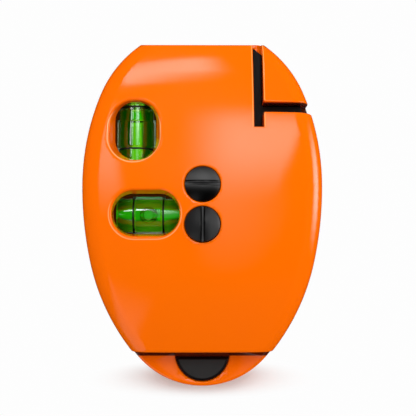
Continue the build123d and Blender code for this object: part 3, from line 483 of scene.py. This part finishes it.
glassSkin = {"scale": 120.0, "detail": 2.0, "roughest": 0.02, "coatIor": 1.7, "coatRoughness": 0.04}


def glassMaterial(name, values):
    material, tree, shader = newMaterial(name)
    noise = addNode(tree, "ShaderNodeTexNoise", Scale=glassSkin["scale"], Detail=glassSkin["detail"])
    tree.links.new(objectPlace(tree), noise.inputs["Vector"])
    span = addNode(tree, "ShaderNodeMapRange")
    span.inputs["To Max"].default_value = glassSkin["roughest"]
    tree.links.new(noise.outputs["Fac"], span.inputs["Value"])
    tree.links.new(span.outputs["Result"], shader.inputs["Roughness"])
    shader.inputs["Base Color"].default_value = values["colour"]
    shader.inputs["IOR"].default_value = values["ior"]
    shader.inputs["Transmission Weight"].default_value = 1.0
    if "coat" in values:
        shader.inputs["Coat Weight"].default_value = values["coat"]
        shader.inputs["Coat IOR"].default_value = glassSkin["coatIor"]
        shader.inputs["Coat Roughness"].default_value = glassSkin["coatRoughness"]
    path = addNode(tree, "ShaderNodeLightPath")  # light passes straight on into the trough
    straight = combine(tree, "MAXIMUM", path.outputs["Is Shadow Ray"], path.outputs["Is Diffuse Ray"])
    through = addNode(tree, "ShaderNodeBsdfTransparent", Color=values["shade"])
    mix = addNode(tree, "ShaderNodeMixShader")
    tree.links.new(straight, mix.inputs["Fac"])
    tree.links.new(shader.outputs["BSDF"], mix.inputs[1])
    tree.links.new(through.outputs["BSDF"], mix.inputs[2])
    tree.links.new(mix.outputs["Shader"], tree.nodes["Material Output"].inputs["Surface"])
    return material


for slot, values in glasses.items():
    finishes[slot] = glassMaterial(slot, values)


# Painted light and shade, laid over the finishes: each is a box in mm, faded in over "soft" at its sides,
# over sharpEdge at its foot, and at its top over "rise" or else sharpEdge
sharpEdge = 0.1
paintedLight = {
    "shell_plastic": (
        # painted highlights along the edges of the beam slot
        {"low": (16.5, 27.6, 15), "high": (17.0, 60, 40), "soft": 0.2, "colour": (0.985, 0.32, 0.07, 1)},
        {"low": (20.45, 37.0, 15), "high": (20.95, 60, 40), "soft": 0.2, "colour": (0.985, 0.34, 0.08, 1)},
        {"low": (20.45, 27.7, 15), "high": (20.95, 32.8, 40), "soft": 0.2, "colour": (0.985, 0.34, 0.08, 1)},
        # painted shade on the walls of the slot that runs across
        {
            "low": (20.3, 33.0, 10), "high": (50, 36.9, 27.5), "soft": 0.25, "rise": 2.6,
            "colour": (0.06, 0.008, 0.001, 1),
        },
        # painted shade on the walls of the slot that runs along
        {
            "low": (17.0, 27.7, 10), "high": (20.5, 55, 26.0), "soft": 0.25, "rise": 5.0,
            "colour": (0.1, 0.012, 0.001, 1),
        },
        # painted shadow line on the deck under the dome's lower edge
        {
            "low": (-24.2, -48.7, 10), "high": (24.2, -46.4, 14.7), "soft": 0.35,
            "colour": (0.09, 0.012, 0.003, 1),
        },
        # painted shade in the well round the catch
        {"low": (-9.4, -49.6, 8), "high": (9.4, -44, 14.35), "soft": 0.3, "colour": (0.22, 0.03, 0.006, 1)},
    ),
    "black_plastic": (
        # painted light: the beam channel a little lighter than the other black parts
        {"low": (16, 27, 13), "high": (45, 60, 26.5), "soft": 0.1, "colour": (0.0095, 0.009, 0.009, 1)},
        # painted sheen on the flat top of the catch
        {
            "low": (-8.3, -56.1, 14.2), "high": (8.3, -49.65, 14.6), "soft": 0.15,
            "colour": (0.024, 0.024, 0.024, 1),
            "round": {"middle": (0, -47.8, 14.4), "radii": (8.32, 8.32, 50), "fade": 0.02},
        },
    ),
    "horizontal_line_button": (
        # painted highlight over the upper half, painted shade over the lower half, and across the groove a
        # painted shadow line over a painted highlight line
        {"low": (-9, 5.5, 30), "high": (9, 14.8, 40), "soft": 4.0, "colour": (0.055, 0.055, 0.055, 1)},
        {"low": (-9, -1, 30), "high": (9, 9.0, 40), "soft": 3.5, "colour": (0, 0, 0, 1)},
        {"low": (-9, 9.25, 30), "high": (9, 9.85, 40), "soft": 0.08, "colour": (0, 0, 0, 1)},
        {"low": (-9, 8.5, 30), "high": (9, 9.22, 40), "soft": 0.15, "colour": (0.07, 0.07, 0.071, 1)},
    ),
    "vertical_line_button": (
        # painted highlight towards the right side, and along the groove a painted shadow line, a painted
        # highlight on its floor and a second painted shadow line
        {"low": (0.9, -20, 30), "high": (7, 10, 40), "soft": 2.5, "colour": (0.035, 0.035, 0.035, 1)},
        {"low": (-0.68, -15, 30), "high": (-0.2, 5, 40), "soft": 0.08, "colour": (0, 0, 0, 1)},
        {"low": (-0.18, -15, 30), "high": (0.5, 5, 40), "soft": 0.15, "colour": (0.06, 0.06, 0.061, 1)},
        {"low": (0.55, -15, 30), "high": (0.98, 5, 40), "soft": 0.08, "colour": (0, 0, 0, 1)},
    ),
}


def boxMask(tree, place, tone):
    mask = None
    for axis, low, high in zip("XYZ", tone["low"], tone["high"]):
        softLow = sharpEdge if axis == "Z" else tone["soft"]
        softHigh = tone.get("rise", sharpEdge) if axis == "Z" else tone["soft"]
        for edge, soft in ((low, softLow), (high, -softHigh)):
            step = smoothStep(tree, place[axis], edge * mm, (edge + soft) * mm)
            mask = step if mask is None else combine(tree, "MULTIPLY", mask, step)
    if "round" in tone:
        mask = combine(tree, "MULTIPLY", mask, addSpot(tree, tone["round"]))
    return mask


# Painted highlights: pale lines where the rims of the windows turn. Each runs round a middle at a radius,
# with straight parts of twice the half lengths between its quarters, and grows along Y from the first place
# to the second. Nothing below the foot's height takes them
windowRimHighlights = {
    "colour": (0.985, 0.5, 0.22, 1), "halfWidth": 0.3, "foot": 26.0,
    "lines": (
        {"middle": (-22.6, 26.2), "half": (0, 1.5), "radius": 8.75, "grow": (35.5, 29.0), "level": 0.8},
        {"middle": (-18.7, -0.95), "half": (3.6, 0.1), "radius": 8.35, "grow": (5.0, -1.0), "level": 0.55},
    ),
}


def rimHighlightMask(tree, place, rim):
    squares = []
    for axis, middle, half in zip("XY", rim["middle"], rim["half"]):
        away = combine(tree, "ABSOLUTE", combine(tree, "SUBTRACT", place[axis], middle * mm))
        past = combine(tree, "MAXIMUM", combine(tree, "SUBTRACT", away, half * mm), 0)
        squares.append(combine(tree, "MULTIPLY", past, past))
    reach = combine(tree, "SQRT", combine(tree, "ADD", *squares))
    off = combine(tree, "ABSOLUTE", combine(tree, "SUBTRACT", reach, rim["radius"] * mm))
    line = smoothStep(tree, off, windowRimHighlights["halfWidth"] * mm, 0)
    start, end = rim["grow"]
    grown = smoothStep(tree, place["Y"], start * mm, end * mm)
    return combine(tree, "MULTIPLY", combine(tree, "MULTIPLY", line, grown), rim["level"])


def layOver(tree, mask, colour):
    base = tree.nodes["Principled BSDF"].inputs["Base Color"]
    tree.links.new(mixColour(tree, mask, base.links[0].from_socket, colour), base)


def addPaintedLight(material, boxes):
    tree = material.node_tree
    place = splitPlace(tree, objectPlace(tree))
    for tone in boxes:
        layOver(tree, boxMask(tree, place, tone), tone["colour"])


def addRimHighlights(material):
    tree = material.node_tree
    place = splitPlace(tree, objectPlace(tree))
    onTop = combine(tree, "GREATER_THAN", place["Z"], windowRimHighlights["foot"] * mm)
    for rim in windowRimHighlights["lines"]:
        layOver(tree, combine(tree, "MULTIPLY", rimHighlightMask(tree, place, rim), onTop), windowRimHighlights["colour"])


# Each button takes its own copy of the button finish, to carry its painted light and shade
for name in ("horizontal_line_button", "vertical_line_button"):
    finishes[name] = skinMaterial(name, plastics["button_plastic"])
# Painted light and shade on the shell, the black parts and each button
for name, boxes in paintedLight.items():
    addPaintedLight(finishes[name], boxes)
addRimHighlights(finishes["shell_plastic"])
print("materials built:", len(finishes))


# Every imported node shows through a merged, smoothly shaded copy of its mesh
smoothing = {"mergeDistance": 0.002, "angle": 35}

# A leaf spring stays where it lies, on no body, between the body it rests on and the one that presses it
leafSprings = {"catch_spring": ("housing", "catch")}


def useOnly(piece):
    bpy.ops.object.select_all(action="DESELECT")
    piece.select_set(True)
    bpy.context.view_layer.objects.active = piece


def mergedCopy(nodeName):
    piece = bpy.data.objects.new(nodeName + "_finish", nodes[nodeName].data.copy())
    bpy.context.scene.collection.objects.link(piece)
    useOnly(piece)
    bpy.ops.object.mode_set(mode="EDIT")
    bpy.ops.mesh.select_all(action="SELECT")
    bpy.ops.mesh.remove_doubles(threshold=smoothing["mergeDistance"] * mm)
    bpy.ops.object.mode_set(mode="OBJECT")
    return piece


def dress(piece, nodeName, slot):
    useOnly(piece)
    bpy.ops.object.shade_smooth_by_angle(angle=math.radians(smoothing["angle"]))
    weight = piece.modifiers.new("weight", "WEIGHTED_NORMAL")
    weight.keep_sharp = True
    bpy.ops.object.modifier_apply(modifier=weight.name)
    piece.data.materials.clear()
    piece.data.materials.append(finishes[slot])
    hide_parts(nodeName)
    if nodeName in leafSprings:
        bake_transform(piece)
    else:
        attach(piece, bodyOf[nodeName])


def editWhere(piece, kind, chosen):
    useOnly(piece)
    bpy.ops.object.mode_set(mode="EDIT")
    bpy.ops.mesh.select_mode(type=kind)
    bpy.ops.mesh.select_all(action="DESELECT")
    bpy.ops.object.mode_set(mode="OBJECT")
    items = piece.data.vertices if kind == "VERT" else piece.data.polygons
    for item in items:
        item.select = chosen(item)
    bpy.ops.object.mode_set(mode="EDIT")


# Vials: lengths in mm from the middle of each. A move shifts what lies between its first two places along
# the vial by its third number, and liquid leaves the bore dry between the two places of "dry"
vials = {
    "horizontal_vial": {
        "centre": (-18.1, -0.85, 17.75), "along": (1, 0, 0), "bubble": (0, 0, 2.0), "dry": (),
        "moves": {
            "_tube": ((-9.3, -8.6, -1.4),),
            "_fluid": ((-9.3, -8.6, -1.4), (8.6, 9.3, 1.4)),
            "_plug": ((8.6, 9.3, 1.4),),
        },
    },
    "vertical_vial": {
        "centre": (-22.6, 26.6, 17.75), "along": (0, 1, 0), "dry": (8.55, 9.15),
        "moves": {
            "_fluid": ((5.0, 6.0, 2.95),),
            "_rings": ((4.5, 6.2, 4.15),),
        },
    },
}

# What is inside the bore's radius and half length counts as bore, the tube below the bedded height counts as
# wet, and a face of the liquid is its free end where its normal runs along the vial by more than facing
vialSizes = {
    "bore": 3.95, "halfLength": 10.7, "bedded": -1.5,
    "bubbleRadius": 2.22, "bubbleStretch": 1.34, "facing": 0.5,
}


def fromMiddle(vial, point):
    return (point - Vector(vial["centre"]) * mm) / mm


def alongAndOut(vial, point):
    place = fromMiddle(vial, point)
    along = Vector(vial["along"])
    run = place.dot(along)
    return run, (place - along * run).length


def isWithin(vial, point, low, high, reach):
    run, out = alongAndOut(vial, point)
    return low < run < high and out < reach


def inBore(vial, face):
    return isWithin(vial, face.center, -vialSizes["halfLength"], vialSizes["halfLength"], vialSizes["bore"])


def inBubble(vial, face):
    away = fromMiddle(vial, face.center) - Vector(vial["bubble"])
    return away.length < vialSizes["bubbleRadius"]


def isWet(vial, face):
    place = fromMiddle(vial, face.center)
    dry = vial["dry"] and vial["dry"][0] < place.dot(Vector(vial["along"])) < vial["dry"][1]
    bedded = place.z < vialSizes["bedded"]
    return bedded or (inBore(vial, face) and not dry)


def isFree(vial, face):
    if "bubble" in vial:
        return inBubble(vial, face)
    along = Vector(vial["along"])
    return fromMiddle(vial, face.center).dot(along) > 0 and face.normal.dot(along) > vialSizes["facing"]


def movedCopy(vialName, part):
    vial = vials[vialName]
    piece = mergedCopy(vialName + part)
    reach = vialSizes["bore"] if part == "_tube" else vialSizes["halfLength"]
    for low, high, shift in vial["moves"].get(part, ()):
        editWhere(piece, "VERT", lambda vertex: isWithin(vial, vertex.co, low, high, reach))
        bpy.ops.transform.translate(value=Vector(vial["along"]) * shift * mm)
        bpy.ops.object.mode_set(mode="OBJECT")
    return piece


def addSecondFinish(piece, finish, second):
    piece.data.materials.append(finishes[finish])
    for face, isSecond in zip(piece.data.polygons, second):
        face.material_index = 1 if isSecond else 0


def shapeVial(vialName):
    vial = vials[vialName]
    centre = Vector(vial["centre"]) * mm
    along = Vector(vial["along"])

    plug = movedCopy(vialName, "_plug")
    dress(plug, vialName + "_plug", "vial_clear")
    plug.data.materials[0] = finishes["vialPlug"]

    rings = movedCopy(vialName, "_rings")  # their lower halves would show twice through the liquid
    useOnly(rings)
    bpy.ops.object.mode_set(mode="EDIT")
    bpy.ops.mesh.select_all(action="SELECT")
    bpy.ops.mesh.bisect(plane_co=centre, plane_no=(0, 0, 1), clear_inner=True, use_fill=True)
    bpy.ops.object.mode_set(mode="OBJECT")
    dress(rings, vialName + "_rings", "ring_black")

    tube = movedCopy(vialName, "_tube")
    for cut in vial["dry"]:
        editWhere(tube, "FACE", lambda face: inBore(vial, face))
        bpy.ops.mesh.bisect(plane_co=centre + along * cut * mm, plane_no=along)
        bpy.ops.object.mode_set(mode="OBJECT")
    dress(tube, vialName + "_tube", "vial_clear")
    addSecondFinish(tube, "vialWetBore", [isWet(vial, face) for face in tube.data.polygons])

    fluid = movedCopy(vialName, "_fluid")
    free = [isFree(vial, face) for face in fluid.data.polygons]
    if "bubble" in vial:
        editWhere(fluid, "FACE", lambda face: inBubble(vial, face))
        bpy.ops.transform.resize(value=(vialSizes["bubbleStretch"], 1, 1), center_override=centre)
        bpy.ops.object.mode_set(mode="OBJECT")
    dress(fluid, vialName + "_fluid", "vial_liquid")
    addSecondFinish(fluid, "liquidSurface", free)
    print(vialName, "shaped:", len(tube.data.polygons), "tube faces,", sum(free), "free faces of the liquid")


for vialName in vials:
    shapeVial(vialName)
shaped = [vialName + part for vialName in vials for part in ("_tube", "_fluid", "_plug", "_rings")]
for nodeName, node in nodes.items():
    if nodeName not in shaped:
        slot = next(name for name in finishes if node.data.materials[0].name.startswith(name))
        piece = mergedCopy(nodeName)
        dress(piece, nodeName, slot)
        if nodeName in paintedLight:
            piece.data.materials[0] = finishes[nodeName]
print("pieces dressed:", len(nodes))

# Lamps for the vials alone: one lights the troughs through the case, the others gleam along the tubes
vialLamps = {
    "troughLamp": {
        "place": (-18, 20, 700), "size": (300, 300), "power": 4.2,
        "receivers": ("vial_bracket",), "throughCase": True,
    },
    "topGleam": {
        "place": (-78, 420, 700), "size": (300, 170), "power": 1.1,
        "receivers": ("horizontal_vial_tube",),
    },
    "leftGleam": {
        "place": (-370, 150, 700), "size": (260, 230), "power": 0.7,
        "receivers": ("vertical_vial_tube",),
    },
    "rightGleam": {
        "place": (205, 150, 700), "size": (230, 230), "power": 0.35,
        "receivers": ("vertical_vial_tube",),
    },
}


def addVialLamp(name, values):
    data = bpy.data.lights.new(name, "AREA")
    data.shape = "RECTANGLE"
    data.size, data.size_y = (length * mm for length in values["size"])
    data.energy = values["power"]
    lamp = bpy.data.objects.new(name, data)
    lamp.location = Vector(values["place"]) * mm
    bpy.context.scene.collection.objects.link(lamp)
    lit = bpy.data.collections.new(name + "_lit")
    for nodeName in values["receivers"]:
        lit.objects.link(bpy.data.objects[nodeName + "_finish"])
    lamp.light_linking.receiver_collection = lit
    if values.get("throughCase"):
        lamp.light_linking.blocker_collection = lit


for lampName, lampValues in vialLamps.items():
    addVialLamp(lampName, lampValues)
print("vial lamps set")
